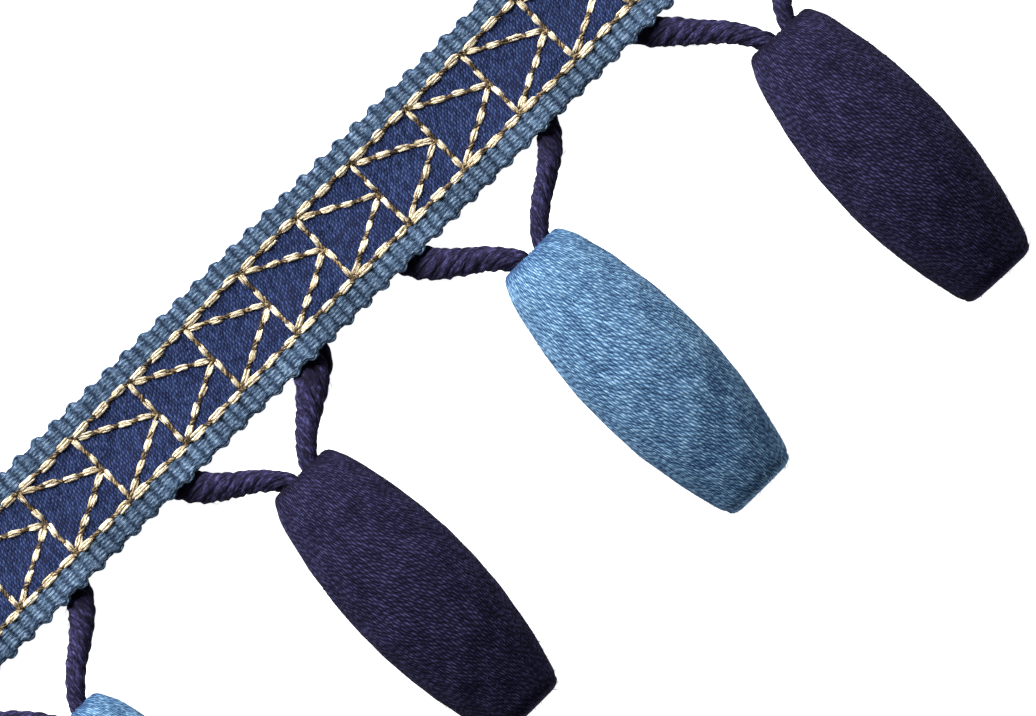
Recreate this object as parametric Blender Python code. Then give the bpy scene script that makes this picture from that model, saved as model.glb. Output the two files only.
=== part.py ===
"""Barrel drop fringe trim: a cut length of woven heading with wrapped drops on twisted cords.

Units are metres and +Z is up. The trim lies on its back on the plane z = 0. X runs along the
heading, +Y points from the drops to the heading, and the origin is the middle of the footprint.
"""

import math

import bmesh
import bpy
from mathutils import Vector

MM = 0.001

# Heading. Its ribs run across the borders, and two ribs make one scallop of the edge.
RIB_PITCH = 1.815 * MM
RIBS_PER_SCALLOP = 2
SCALLOPS = 52
STATIONS_PER_RIB = 2
SCALLOP_DEPTH = 0.32 * MM
RIB_HEIGHT = 0.14 * MM
HEADING_LENGTH = SCALLOPS * RIBS_PER_SCALLOP * RIB_PITCH
HEADING_WIDTH = 19.5 * MM
BORDER_WIDTH = 3.5 * MM
LOWER_EDGE_Y = 21.225 * MM

# Front of the heading, from its lower edge to its upper edge: distance from the lower edge and
# height above the back in millimetres, and whether the row carries the border's ribs.
FRONT_ROWS = (
    # (distance, height, ribbed)
    (0.00, 0.85, False),
    (0.50, 1.50, True),
    (3.20, 1.55, True),
    (3.95, 2.00, False),
    (4.70, 1.40, False),
    (7.60, 1.40, False),
    (10.40, 1.40, False),
    (15.00, 1.40, False),
    (15.75, 2.00, False),
    (16.50, 1.55, True),
    (19.00, 1.50, True),
    (19.50, 0.85, False),
)
# Where the back of the heading has its rows, as distances from the lower edge in millimetres.
BACK_ROWS = (19.10, 10.40, 5.80, 2.60, 0.40)

# The lower border rides over the ends of the cords: share of the full lift at each distance.
LIFT_ROWS = (
    # (distance in millimetres, share of the lift)
    (0.0, 1.00),
    (2.6, 0.81),
    (5.8, 0.73),
    (10.4, 0.00),
)
LIFT_OVER_CORD = 3.15 * MM
LIFT_BETWEEN = 0.80 * MM
LIFT_HALF_WIDTH = 10.5 * MM

# Drops
DROP_LENGTH = 48.1 * MM
DROP_RADIUS = 9.87 * MM
DROP_END_RADIUS = 5.9 * MM
DROP_AXIS_HEIGHT = 9.72 * MM
DROP_SIDES = 24
MOUTH_RADIUS = 3.92 * MM
MOUTH_DEPTH = 4.3 * MM
BARREL_RINGS = 11
BARREL_FROM = 3.3 * MM
BARREL_TO = 46.4 * MM
TOP_RIM = (
    # (radius mm, distance from the top end mm)
    (4.35, 0.00),
    (5.30, 0.50),
    (6.05, 1.60),
)
LOWER_RIM = (
    # (radius mm, distance from the lower end mm); the last row is the floor of a small dimple
    (6.05, 1.00),
    (5.25, 0.30),
    (4.00, 0.00),
    (2.20, 1.50),
)

# Each drop's middle along X, how far its top hangs below the heading, its turn about Z and its
# girth as a share of the usual one. A leg of its cord has how far its foot spreads, its girth at
# the foot as a share of the usual one, and how much it bows inwards at half its rise.
DROPS = (
    # (colour, x mm, hang mm, turn deg, girth, left leg, right leg), legs as (spread mm, girth, bow)
    ("light", -71.5, 12.25, 0.0, 1.0, (12.9, 1.0, 0.0), (13.7, 0.92, 0.0)),
    ("dark", -22.8, 10.75, -0.4, 1.0, (13.2, 1.0, 0.0), (12.8, 1.06, 0.0)),
    ("light", 23.5, 11.45, 0.0, 1.0, (13.0, 1.0, 0.0), (14.9, 0.82, 0.0)),
    ("dark", 71.5, 14.05, -2.2, 1.025, (13.6, 1.0, 0.08), (12.7, 0.95, 0.0)),
)

# Cord of a hanger, laid from plies. The lay is left-handed.
PLIES = 5
POINTS_PER_PLY = 3
PLY_FORM = (0.99, 0.99, 0.84)
CORD_LAY = 12.5 * MM
CORD_STEP = 1.35 * MM
FOOT_SLANT = 0.28

# One leg, from its hidden foot to the drop's mouth. Spread and rise are shares of the leg's own
# spread and of the height from the mouth to the heading; beyond, height, width and thickness are
# in millimetres, and beyond counts on past the heading's edge.
LEG_ROUTE = (
    # (spread, rise, beyond, height, width, thickness)
    (1.000, 1.000, 5.2, 0.85, 4.0, 1.4),
    (1.000, 1.000, 2.6, 0.95, 4.3, 1.5),
    (1.000, 1.000, 0.0, 1.40, 4.6, 2.0),
    (0.850, 0.755, 0.0, 2.95, 4.3, 2.9),
    (0.650, 0.550, 0.0, 5.00, 3.7, 3.4),
    (0.440, 0.370, 0.0, 7.00, 3.3, 3.2),
    (0.275, 0.190, 0.0, 8.80, 3.0, 2.9),
    (0.152, 0.000, 0.0, 9.60, 2.8, 2.6),
)
# The bend inside the drop's mouth, from one leg to the other.
BEND_ROUTE = (
    # (x mm, y mm, height mm, width mm)
    (2.10, -1.00, 9.72, 2.5),
    (1.45, -2.10, 9.72, 2.4),
    (0.00, -2.65, 9.72, 2.4),
)

COLOURS = {
    "heading": (0.075, 0.072, 0.145, 1.0),
    "light": (0.130, 0.270, 0.450, 1.0),
    "dark": (0.028, 0.026, 0.085, 1.0),
    "cord": (0.025, 0.020, 0.062, 1.0),
}
YARN_ROUGHNESS = 0.85


def clear_scene():
    for scene_object in list(bpy.data.objects):
        bpy.data.objects.remove(scene_object, do_unlink=True)


def yarn_material(name):
    material = bpy.data.materials.new(name)
    material.use_nodes = True
    shader = material.node_tree.nodes["Principled BSDF"]
    shader.inputs["Base Color"].default_value = COLOURS[name]
    shader.inputs["Roughness"].default_value = YARN_ROUGHNESS
    shader.inputs["Metallic"].default_value = 0.0
    return material


def loft(name, rings, material):
    """Skins rings of equal point counts, in order, and closes both ends with a flat face."""
    mesh = bpy.data.meshes.new(name)
    bm = bmesh.new()
    rows = [[bm.verts.new(point) for point in ring] for ring in rings]
    for row, following in zip(rows, rows[1:]):
        for i in range(len(row)):
            j = (i + 1) % len(row)
            bm.faces.new((row[i], row[j], following[j], following[i]))
    bm.faces.new(rows[0])
    bm.faces.new(rows[-1])
    bmesh.ops.recalc_face_normals(bm, faces=bm.faces)
    bmesh.ops.triangulate(bm, faces=bm.faces)
    bm.to_mesh(mesh)
    bm.free()
    mesh.shade_smooth()
    mesh.set_sharp_from_angle(angle=math.radians(40))
    mesh.materials.append(material)
    made = bpy.data.objects.new(name, mesh)
    bpy.context.scene.collection.objects.link(made)
    return made


def read_rows(rows, place):
    """Reads a table of (place, value) rows at a place between them, along straight lines."""
    for (start, low), (end, high) in zip(rows, rows[1:]):
        if place <= end:
            return low + (high - low) * max(place - start, 0.0) / (end - start)
    return rows[-1][1]


def feet():
    """Yields where each cord's leg passes the heading's edge, and the side that it leans to."""
    for _, x, _, _, _, left, right in DROPS:
        yield (x - left[0]) * MM, -1
        yield (x + right[0]) * MM, 1


def back_height(x, distance):
    """Height of the heading's back, which rises over the cords' ends along the lower border."""
    over = 0.0
    for foot_x, side in feet():
        away = abs(x - foot_x - side * FOOT_SLANT * distance) / LIFT_HALF_WIDTH
        if away < 1.0:
            over = max(over, math.cos(away * math.pi / 2) ** 2)
    lift = LIFT_BETWEEN + (LIFT_OVER_CORD - LIFT_BETWEEN) * over
    return lift * read_rows(LIFT_ROWS, distance / MM)


def heading_section(station):
    """One closed section of the heading, over its front from the lower edge and back below."""
    stations_per_scallop = RIBS_PER_SCALLOP * STATIONS_PER_RIB
    x = station * RIB_PITCH / STATIONS_PER_RIB
    rib = RIB_HEIGHT if station % STATIONS_PER_RIB else -RIB_HEIGHT
    scallop = SCALLOP_DEPTH * math.cos(2 * math.pi * station / stations_per_scallop)

    def place(distance, height):
        # The upper edge swells where the lower edge draws in, and the ground stays straight.
        from_edge = min(distance, HEADING_WIDTH - distance)
        y = LOWER_EDGE_Y + distance + scallop * max(0.0, 1.0 - from_edge / BORDER_WIDTH)
        return Vector((x, y, back_height(x, distance) + height))

    section = []
    for distance, height, ribbed in FRONT_ROWS:
        section.append(place(distance * MM, height * MM + (rib if ribbed else 0.0)))
    for distance in BACK_ROWS:
        section.append(place(distance * MM, 0.0))
    return section


def make_heading():
    half = SCALLOPS * RIBS_PER_SCALLOP * STATIONS_PER_RIB // 2
    sections = [heading_section(station) for station in range(-half, half + 1)]
    return loft("heading", sections, yarn_material("heading"))


def barrel_radius(along):
    """Radius of a drop's wound side, at a distance from its top end."""
    from_middle = (along - DROP_LENGTH / 2) / (DROP_LENGTH / 2)
    return DROP_END_RADIUS + (DROP_RADIUS - DROP_END_RADIUS) * (1.0 - from_middle ** 2)


def drop_profile():
    """Radius and distance from the top end, from the mouth's floor round to the lower dimple."""
    profile = [(MOUTH_RADIUS * 0.98, MOUTH_DEPTH), (MOUTH_RADIUS, 0.5 * MM)]
    profile += [(radius * MM, along * MM) for radius, along in TOP_RIM]
    for ring in range(BARREL_RINGS):
        along = BARREL_FROM + (BARREL_TO - BARREL_FROM) * ring / (BARREL_RINGS - 1)
        profile.append((barrel_radius(along), along))
    profile += [(radius * MM, DROP_LENGTH - above * MM) for radius, above in LOWER_RIM]
    return profile


def drop_rings(girth):
    """Rings about the drop's own -Y axis, pressed to a small flat spot where it lies."""
    rings = []
    for radius, along in drop_profile():
        if radius > MOUTH_RADIUS:
            radius *= girth
        ring = []
        for side in range(DROP_SIDES):
            angle = 2 * math.pi * (side + 0.5) / DROP_SIDES
            height = DROP_AXIS_HEIGHT + radius * math.sin(angle)
            ring.append(Vector((radius * math.cos(angle), -along, max(height, 0.0))))
        rings.append(ring)
    return rings


def leg_points(side, leg, rise):
    """One leg's (centre, width, thickness), from its foot to the mouth."""
    spread, girth, bow = leg
    points = []
    for share, up, beyond, height, width, thickness in LEG_ROUTE:
        bowed = share * (1.0 - bow * 4 * up * (1.0 - up))
        x = side * (bowed * spread + FOOT_SLANT * beyond) * MM
        y = (up * rise + beyond) * MM
        width *= 1.0 + (girth - 1.0) * up
        points.append((Vector((x, y, height * MM)), width * MM, thickness * MM))
    return points


def bend_points():
    """The bend's (centre, width, thickness), from the left leg to the right one."""
    right = [
        (Vector((x * MM, y * MM, height * MM)), width * MM, width * MM)
        for x, y, height, width in BEND_ROUTE
    ]
    left = [(Vector((-p.x, p.y, p.z)), width, thickness) for p, width, thickness in right[:-1]]
    return left + right[::-1]


def smooth_route(points, step):
    """Reads a smooth curve through the points about every step of its length."""
    ends = [points[0]] + points + [points[-1]]
    read = []
    for before, start, end, after in zip(ends, ends[1:], ends[2:], ends[3:]):
        pieces = max(1, round((end[0] - start[0]).length / step))
        for piece in range(pieces):
            t = piece / pieces
            weights = (
                (-t + 2 * t * t - t ** 3) / 2,
                (2 - 5 * t * t + 3 * t ** 3) / 2,
                (t + 4 * t * t - 3 * t ** 3) / 2,
                (-t * t + t ** 3) / 2,
            )
            four = (before, start, end, after)
            centre = sum((w * p[0] for w, p in zip(weights, four)), Vector())
            width = sum(w * p[1] for w, p in zip(weights, four))
            thickness = sum(w * p[2] for w, p in zip(weights, four))
            read.append((centre, width, thickness))
    read.append(points[-1])
    return read


def cord_rings(route):
    """Rings of laid plies along a route, widest in the plane of the trim.

    The ring runs clockwise as seen along the cord, so a growing turn lays the plies left-handed.
    """
    rings = []
    travelled = 0.0
    count = PLIES * POINTS_PER_PLY
    for i, (centre, width, thickness) in enumerate(route):
        ahead = route[min(i + 1, len(route) - 1)][0]
        behind = route[max(i - 1, 0)][0]
        along = (ahead - behind).normalized()
        level = along.cross(Vector((0.0, 0.0, 1.0))).normalized()
        upright = level.cross(along)
        if i:
            travelled += (centre - route[i - 1][0]).length
        turn = 2 * math.pi * travelled / CORD_LAY
        ring = []
        for k in range(count):
            angle = 2 * math.pi * k / count
            form = PLY_FORM[k % POINTS_PER_PLY]
            across = level * math.cos(angle + turn) * width / 2
            up = upright * math.sin(angle + turn) * thickness / 2
            ring.append(centre + (across + up) * form)
        rings.append(ring)
    return rings


def make_drop(number, colour, x, hang, turn, girth, left, right):
    """One drop and its hanger, on an empty at the drop's top end."""
    place = bpy.data.objects.new(f"place_{number}", None)
    place.location = (x * MM, LOWER_EDGE_Y - hang * MM, 0.0)
    bpy.context.scene.collection.objects.link(place)

    left_leg = leg_points(-1, left, hang)
    right_leg = leg_points(1, right, hang)
    route = left_leg + bend_points() + right_leg[::-1]
    hanger_rings = cord_rings(smooth_route(route, CORD_STEP))
    drop = loft(f"drop_{number}", drop_rings(girth), yarn_material(colour))
    hanger = loft(f"hanger_{number}", hanger_rings, yarn_material("cord"))
    drop.rotation_euler = (0.0, 0.0, math.radians(turn))
    drop.parent = place
    hanger.parent = place


def main():
    clear_scene()
    make_heading()
    for number, row in enumerate(DROPS, start=1):
        make_drop(number, *row)


main()
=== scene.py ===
"""Looks of the barrel drop fringe trim: weave, stitching, wound yarn and laid cords.

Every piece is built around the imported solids, in metres, in the same frame. Lengths below are in
millimetres unless their name ends in _M, and make_piece() turns them into metres. A tone is a
place on the colour ramp of a material, from 0 (dark) to 1 (light).
"""

import math

import bpy
import numpy as np
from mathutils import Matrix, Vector


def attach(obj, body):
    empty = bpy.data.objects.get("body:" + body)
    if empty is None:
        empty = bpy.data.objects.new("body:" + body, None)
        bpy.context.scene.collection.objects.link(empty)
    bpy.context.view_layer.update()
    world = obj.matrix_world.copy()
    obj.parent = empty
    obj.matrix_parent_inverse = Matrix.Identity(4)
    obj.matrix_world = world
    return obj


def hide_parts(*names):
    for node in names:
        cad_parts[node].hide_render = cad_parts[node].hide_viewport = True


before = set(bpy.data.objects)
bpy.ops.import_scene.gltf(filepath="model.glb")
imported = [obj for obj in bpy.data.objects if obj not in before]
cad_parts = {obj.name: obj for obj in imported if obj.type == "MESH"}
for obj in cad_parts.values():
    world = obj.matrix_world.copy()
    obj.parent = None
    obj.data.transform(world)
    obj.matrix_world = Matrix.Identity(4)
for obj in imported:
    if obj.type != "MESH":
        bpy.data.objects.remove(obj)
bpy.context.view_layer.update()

BODY = "root"
MM = 0.001
TINY = 1e-6

# Heading, as in its solid: ribs run across the borders, and two ribs make a scallop.
RIB_PITCH = 1.815
SCALLOP_PITCH = 2 * RIB_PITCH
SCALLOPS = 52
HEADING_LENGTH = SCALLOPS * SCALLOP_PITCH
HEADING_WIDTH = 19.5
LOWER_EDGE_Y = 21.225
BORDER_WIDTH = 3.5
STATIONS_PER_RIB = 8
STATION = RIB_PITCH / STATIONS_PER_RIB
FRONT_ROWS = (
    # (distance from the lower edge, height above the back)
    (0.00, 0.95),
    (0.25, 1.25),
    (0.60, 1.33),
    (3.10, 1.45),
    (4.50, 1.30),
    (15.50, 1.30),
    (16.95, 1.45),
    (18.90, 1.33),
    (19.25, 1.25),
    (19.50, 0.95),
)
LIFT_ROWS = (
    # (distance from the lower edge, share of the lift)
    (0.0, 1.00),
    (2.6, 0.81),
    (5.8, 0.73),
    (10.4, 0.00),
)
LIFT_OVER_CORD = 3.15
LIFT_BETWEEN = 0.80
LIFT_HALF_WIDTH = 10.5

# Rows round the cloth: its front starts a little inside its edges, and its back has fewer rows.
FIRST_ROW = 0.30
LAST_ROW_INSIDE = 0.25
GROUND_INSIDE = 0.05
BACK_INSIDE = 0.35
BACK_ROWS = 8

# Weave of the borders: floats in ribs. Sizes along the rib are shares of the pitch. The tone has painted
# light on the floats' crowns and painted shade in the valleys between the ribs.
FLOAT_PITCH = 0.55
FLOAT_REACH = 0.50
FLOAT_HALF = 0.52
FLOAT_POWER = 2.5
FLOAT_LUCK = 0.2
FLOAT_JITTER = 0.12
JITTER_COLUMN = 5
FLOAT_STAGGER = 0.10
FLOAT_RELIEF = 0.12
RIB_RELIEF = 0.12
RIB_LEVEL = 0.6
BORDER_ROW = FLOAT_PITCH / 4
BORDER_CELL = (0.62, 0.22)
BORDER_CHANCES = (211, 97)
BORDER_TONE = 0.08
CROWN_PAINTED_LIGHT = 0.32
CROWN_PAINTED_LIGHT_POWER = 1.5
FLOAT_SHADE = 0.38
VALLEY_PAINTED_SHADE = 0.12

# Weave of the ground: upright dashes on every second station, with painted light on the raised dashes
# and painted shade in the gaps between them.
DASH_PITCH = 0.82
DASH_CROWN = 0.80
DASH_FALL = 2.2
DASH_LUCK = 0.30
DASH_STAGGER = 0.45
DASH_WANDER = 0.15
DASH_WAVE = 7.0
DASH_WAVE_SLANT = 3
DASH_RELIEF = 0.11
GAP_CROWN = 0.05
GROUND_ROW = DASH_PITCH / 4
GROUND_DASH = 0.62
GROUND_CHANCES = (389, 97)
GROUND_TONE = 0.35
PAINTED_SHADE_GAP_TONE = 0.31
DASH_PAINTED_LIGHT = 0.10
DASH_LUCK_SHADE = 0.08
SPECK_SHARE = 0.02
SPECK_SHADE = 0.35

# Painted light and shade of the whole cloth: lighter or darker by the ground's slope, painted light
# towards its lower edge and painted shade towards its upper edge; and a lighter lower border.
SLOPE_STEP = 0.2
SLOPE_LIMIT = 0.5
SLOPE_PAINTED_SHADING = 0.42
LOWER_EDGE_REACH = 0.7
LOWER_EDGE_PAINTED_LIGHT = 0.2
UPPER_EDGE_REACH = 0.9
UPPER_EDGE_PAINTED_SHADE = 0.16
LOWER_BORDER_SHADE = 0.05

# Stitching: where the two long lines lie, and the repeat of the chevrons.
LOWER_LINE = 3.80
UPPER_LINE = 16.25
MIDDLE_LINE = (LOWER_LINE + UPPER_LINE) / 2
CHEVRON_PITCH = 11.37
CHEVRON_START = 13.95
STITCH_LIMIT = HEADING_LENGTH / 2 - 0.3

# Light stitches of one repeat: starts and ends along a long line, and the middles of the others
# as shares of their line. Half lengths and widths follow.
LINE_STITCHES = ((0.35, 3.70), (4.45, 7.50), (8.40, 11.00))
UPRIGHT_STITCHES = (0.125, 0.390, 0.645, 0.900)
CHEVRON_STITCHES = (0.12, 0.375, 0.63, 0.885)
UPRIGHT_HALF = 1.12
CHEVRON_HALF = 1.22
LINE_WIDTH = 1.20
UPRIGHT_WIDTH = 0.90
CHEVRON_WIDTH = 1.0
CHEVRON_INSET = 0.35
CHEVRON_FROM_LINE = 0.42
CHEVRON_FROM_MIDDLE = 0.25
STITCH_SCATTER = 0.09

# The three strands of a light stitch, spaced and sized as shares of its width. A strand is lighter where
# it arches up, a painted highlight.
STRAND_LANES = (-1.0, 0.0, 1.0)
STRAND_POINTS = 7
STRAND_SIDES = 6
STRAND_SPACING = 0.27
STRAND_RADIUS = 0.21
STRAND_SINK = 0.25
STRAND_RISE = 0.40
STRAND_SQUASH = 0.9
ARCH_POWER = 0.4
END_SPACING = 0.65
END_RADIUS = 0.7
STRAND_SIZES = (0.85, 1.1)
STRAND_TRIM = (-0.09, 0.07)
OUTER_TRIM = 0.05
OUTER_SINK = 0.04
STRAND_SCATTER = 0.05
STRAND_SWING = 0.04
STRAND_BEAT = 1.3
STRAND_UNEVEN = 0.03
STITCH_CELLS = (1.7, 0.9)
STITCH_STARTS = 50
LIGHT_TONE = 0.20
ARCH_PAINTED_LIGHT = 0.55
LUCK_SHADE = 0.12

# Brown yarns: three thin strands, by their angle in the twist. None is shorter than BROWN_SHORTEST or
# has fewer rings than BROWN_RINGS. A strand is lighter where the twist brings it on top, a painted
# highlight.
BROWN_STRANDS = (0, 2.1, 4.2)
BROWN_SIDES = 4
BROWN_RINGS = 4
BROWN_SHORTEST = 1.0
BROWN_STEP = 0.29
BROWN_LAY = 1.7
BROWN_UNEVEN = 1.2
BROWN_UNEVEN_WAVE = 3.0
BROWN_SWING = 0.23
BROWN_WANDER = 0.09
BROWN_WAVE = 1.6
BROWN_SINK = 0.02
BROWN_RISE = 0.09
BROWN_RADIUS = 0.18
BROWN_TONE = 0.32
BROWN_TWIST_PAINTED_LIGHT = 0.20
BROWN_LUCK_SHADE = 0.26
BROWN_START = (0.1, 0.3)

# Loops of the two edges, as (start, height, phase, power), and the yarn that rims them, which has
# painted light where it loops out and on the ridges of its twist.
UPPER_LOOPS = (-0.14, 0.60, 0.10, 0.5)
LOWER_LOOPS = (-0.22, 0.56, 1.55, 0.65)
LOOP_DEPTH = 1.4
LOOP_UNEVEN = 0.13
LOOP_BEAT = 12.9
EDGE_YARN_SIDES = 8
EDGE_YARN_RADIUS = 0.21
EDGE_YARN_RELIEF = 0.18
EDGE_YARN_LAY = 1.1
EDGE_YARN_CELL = 1.2
EDGE_YARN_HEIGHT = 0.88
EDGE_YARN_TONE = 0.25
LOOP_PAINTED_LIGHT = 0.10
TWIST_PAINTED_LIGHT = 0.24

# Loose fibres; pairs give the least and the most. The first and last BARE_RINGS of a surface have
# none, and the rings ROOT_STEP before and after a root give its direction.
HAIR_RADIUS = 0.032
HAIR_LENGTH = (0.4, 1.1)
HAIR_RISE = (0.12, 0.40)
HAIR_TONE = (0.2, 0.7)
HAIR_RINGS = 4
HAIR_SIDES = 4
HAIR_SINK = 0.06
HAIR_LEAN = 0.6
HAIR_CURL = 0.25
HAIR_ARCH = 0.62
HAIR_TAPER = 0.65
HAIR_STARTS = 9
BARE_RINGS = 4
ROOT_STEP = 3

# Drops, as in their solids. Some legs follow the photo more closely than the solids do.
DROP_LENGTH = 48.1
DROP_RADIUS = 9.87
DROP_END_RADIUS = 5.9
DROP_AXIS_HEIGHT = 9.72
MOUTH_RADIUS = 3.92
TOP_RIM = (
    # (radius, distance from the top end), from the mouth's floor outwards
    (2.00, 4.35),
    (3.20, 4.35),
    (3.88, 3.90),
    (3.92, 0.90),
    (4.28, 0.12),
    (5.10, 0.22),
    (5.75, 0.85),
    (6.20, 1.75),
)
LOWER_RIM = (
    # (radius, distance from the lower end); the last rows are a small dimple
    (6.14, 1.30),
    (6.02, 0.80),
    (5.25, 0.22),
    (4.00, 0.00),
    (2.90, 0.55),
    (2.20, 1.50),
    (1.20, 1.60),
)
BARREL_FROM = 3.3
BARREL_TO = 46.0
BARREL_POINTS = 12
DROPS = (
    # (yarn, x, hang, turn in degrees, girth, left leg, right leg), with the legs as
    # (spread, girth at the foot, girth at the drop, bow, how far the plies open at the foot)
    ("light_yarn", -71.5, 12.25, 0.0, 1.0, (12.9, 1.0, 1.05, 0.0, 0.0), (13.7, 0.92, 1.0, 0.0, 0.0)),
    ("dark_yarn", -22.8, 10.75, -0.4, 1.0, (13.2, 1.10, 1.08, 0.0, 0.0), (12.9, 1.08, 1.05, 0.07, 0.72)),
    ("light_yarn", 23.5, 11.45, 0.0, 1.0, (13.0, 1.12, 1.24, 0.0, 0.0), (14.9, 0.82, 1.0, 0.0, 0.0)),
    ("dark_yarn", 71.5, 14.05, -2.2, 1.025, (13.6, 1.0, 1.08, 0.14, 0.0), (12.7, 0.95, 1.0, 0.0, 0.0)),
)

# Yarns wound on the drops: how many, their relief and wandering as shares of their pitch, and how
# they swing, lean and rise over the whole drop.
YARNS_AROUND = 122
COLUMNS_PER_YARN = 3
DROP_RING = 0.56
YARN_RELIEF = 0.24
YARN_LEVEL = 0.6
YARN_WANDER = 0.16
YARN_WAVE = 9.0
YARN_RISE = 0.03
YARN_SWING = 0.04
SWING_PHASE = 1.0
SWING_WAVE = 30.0
YARN_LEAN = 0.08
PATCHES = 14
PATCH_LENGTH = (5.0, 16.0)
PATCH_TURNS = 9
PATCH_RISE = 0.04
SIDE_FROM = 3.0
SIDE_REACH = 2.0
CREASE_ABOVE_END = 1.35
CREASE_WIDTH = 0.55
CREASE_DEPTH = 0.06
RIM_REACH = 0.8
RIM_UNEVEN = 0.13
HAIRS_PER_DROP = 700
HAIRLESS_RINGS = 16

# Plies that cross each wound yarn: the length of a turn, its slant and how unevenly it is strewn.
PLY_TURN = 1.05
PLY_SLANT = 0.9
PLY_CREST = 1.4
PLY_STARTS = 5.0
PLY_STREWN = 0.40
STREWN_WAVE = 7.0

# Painted light and shade of a drop: a painted highlight on each yarn's ridge; painted shade towards its
# top, at its rim, in its crease, over its lower part and along its outline; painted light near its lower
# end. The reaches say how far these go at its ends and outline, and the table by how much; its patch
# entry is random tone.
TOP_REACH = 3.0
END_REACH = 5.0
LOW_FROM = 26.0
LOW_REACH = 18.0
LIMB_REACH = 0.45
DROP_TONE = 0.41
DROP_PATCHES_AND_PAINTED_SHADING = {
    "ridge": 0.08,
    "patch": 0.04,
    "low_part": -0.12,
    "near_top": -0.22,
    "rim": -0.24,
    "near_end": 0.13,
    "crease": -0.22,
    "limb": -0.20,
}

# Cords, on the route of their solids but for the bow of two legs. Sizes of the plies are shares of
# the cord's half width, and those of the strands are shares of a ply.
CORD_PLIES = 5
CORD_LAY = 12.5
CORD_RING = 0.33
LAY_UNEVEN = 0.06
LAY_WAVE = 20.0
PLY_SIDES = 14
PLY_RADIUS = 0.58
PLY_OFFSET = 0.42
PLY_WANDER = 0.02
PLY_WAVE = 7.0
PLY_UNEVEN = 0.03
PLY_UNEVEN_WAVE = 5.0
STRANDS_PER_PLY = 3
STRAND_TURN = 3.1
STRAND_RELIEF = 0.07
STRAND_STARTS = 6
LOWEST_CORD = 0.12
HAIRS_PER_CORD = 300
HAIRLESS_CORD = 20
FOOT_SLANT = 0.28

# Where a leg's plies open, they lie longer, spread and get thinner.
OPEN_FROM = 0.4
OPEN_UNDER_HEADING = 0.3
OPEN_LAY = 3.0
OPEN_SPREAD = 0.7
OPEN_THINNER = 0.25

# Fibres of the cords, and their tone: painted light on each ply's outer side and on its strands' ridges,
# painted shade near the foot under the heading's edge, and uneven tone.
FIBRE_LENGTH = 0.95
FIBRE_TURN = 6.0
FIBRE_CELLS = 2.6
PLY_STEP = 7.0
CORD_TONE = 0.16
OUTSIDE_PAINTED_LIGHT = 0.24
STRAND_PAINTED_LIGHT = 0.14
FOOT_PAINTED_SHADE = 0.26
FOOT_REACH = 5.0
CORD_UNEVEN_SHADE = 0.12
CORD_SHADE_WAVE = 3.0
LEG_ROUTE = (
    # (share of spread, share of rise, beyond the edge, height, width, thickness)
    (1.000, 1.000, 5.2, 0.85, 4.0, 1.4),
    (1.000, 1.000, 2.6, 0.95, 4.3, 1.5),
    (1.000, 1.000, 0.0, 1.40, 4.6, 2.0),
    (0.850, 0.755, 0.0, 2.95, 4.3, 2.9),
    (0.650, 0.550, 0.0, 5.00, 3.7, 3.4),
    (0.440, 0.370, 0.0, 7.00, 3.3, 3.2),
    (0.275, 0.190, 0.0, 8.80, 3.0, 2.9),
    (0.152, 0.000, 0.0, 9.60, 2.8, 2.6),
)
BEND_ROUTE = (
    # (x, y, height, width)
    (2.10, -1.00, 9.72, 2.5),
    (1.45, -2.10, 9.72, 2.4),
    (0.00, -2.65, 9.72, 2.4),
)

# Light: a low key light as (degrees from +Y, height in degrees, distance, size, power), in metres
# and watts.
KEY_LIGHT = (-3.0, 27.0, 1.2, 0.8, 50.0)
SURROUND_LIGHT = 0.17
FLOOR_SIZE_M = 3.0
FLOOR_DEPTH = 0.05
FLOOR_WHITE = 0.93
FLOOR_ROUGHNESS = 0.9
FLOOR_GLOW = 0.92

# Camera: straight above, turned so that the heading runs up to the right as in the photo.
PHOTO_WIDTH_PIXELS = 1036
PHOTO_SCALE = 0.1452
HEADING_ANGLE = 44.7
PHOTO_CENTRE = (11.51, 0.095)
LENS = 480.0
SENSOR = 36.0
SHARP_HEIGHT = 7.0

# Nodes of the yarn materials: noises as (scale, detail), in units of the thread attribute.
MOTTLE_NOISE = (1.6, 5.0)
FIBRE_NOISE = (5.0, 3.0)
NOISE_ROUGHNESS = 0.65
NOISE_SPAN = (0.3, 0.7)
FIBRE_SHARE = 0.35
BUMP_DEPTH = 0.18
DASH_SPAN = (0.12, 0.80)
FLAT_RANDOMNESS = 0.8
CHANCE_SPAN = (0.2, 0.8)

# Wandering values: how many waves are summed, how their lengths vary, and about their peak. Then
# the points of a smooth curve between two rows, and the seeds of the random draws.
WAVES = 4
WAVE_STRETCH = (0.6, 1.8)
WAVE_PEAK = 1.4
CURVE_POINTS = 24
SEEDS = {"cloth": 11, "light_stitches": 12, "brown_stitches": 13, "drops": 20, "hangers": 30}


def draws(what, number=0):
    """Seeded random draws of one kind of piece."""
    return np.random.default_rng(SEEDS[what] + number)


def smooth_waves(place, rng, wavelength):
    """A smooth wandering value between about -1 and 1 along place."""
    total = np.zeros_like(place, dtype=float)
    for _ in range(WAVES):
        stretch = wavelength * rng.uniform(*WAVE_STRETCH)
        total += np.sin(2 * np.pi * (place / stretch + rng.uniform()))
    return total / math.sqrt(WAVES) / WAVE_PEAK


def ring_angles(sides):
    """Angles of the points of a ring, in radians."""
    return 2 * np.pi * np.arange(sides) / sides


def end_quads(ring):
    """Quads that fill an even ring of points."""
    count = len(ring)
    return [
        (ring[i], ring[i + 1], ring[count - 2 - i], ring[count - 1 - i])
        for i in range(count // 2 - 1)
    ]


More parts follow.
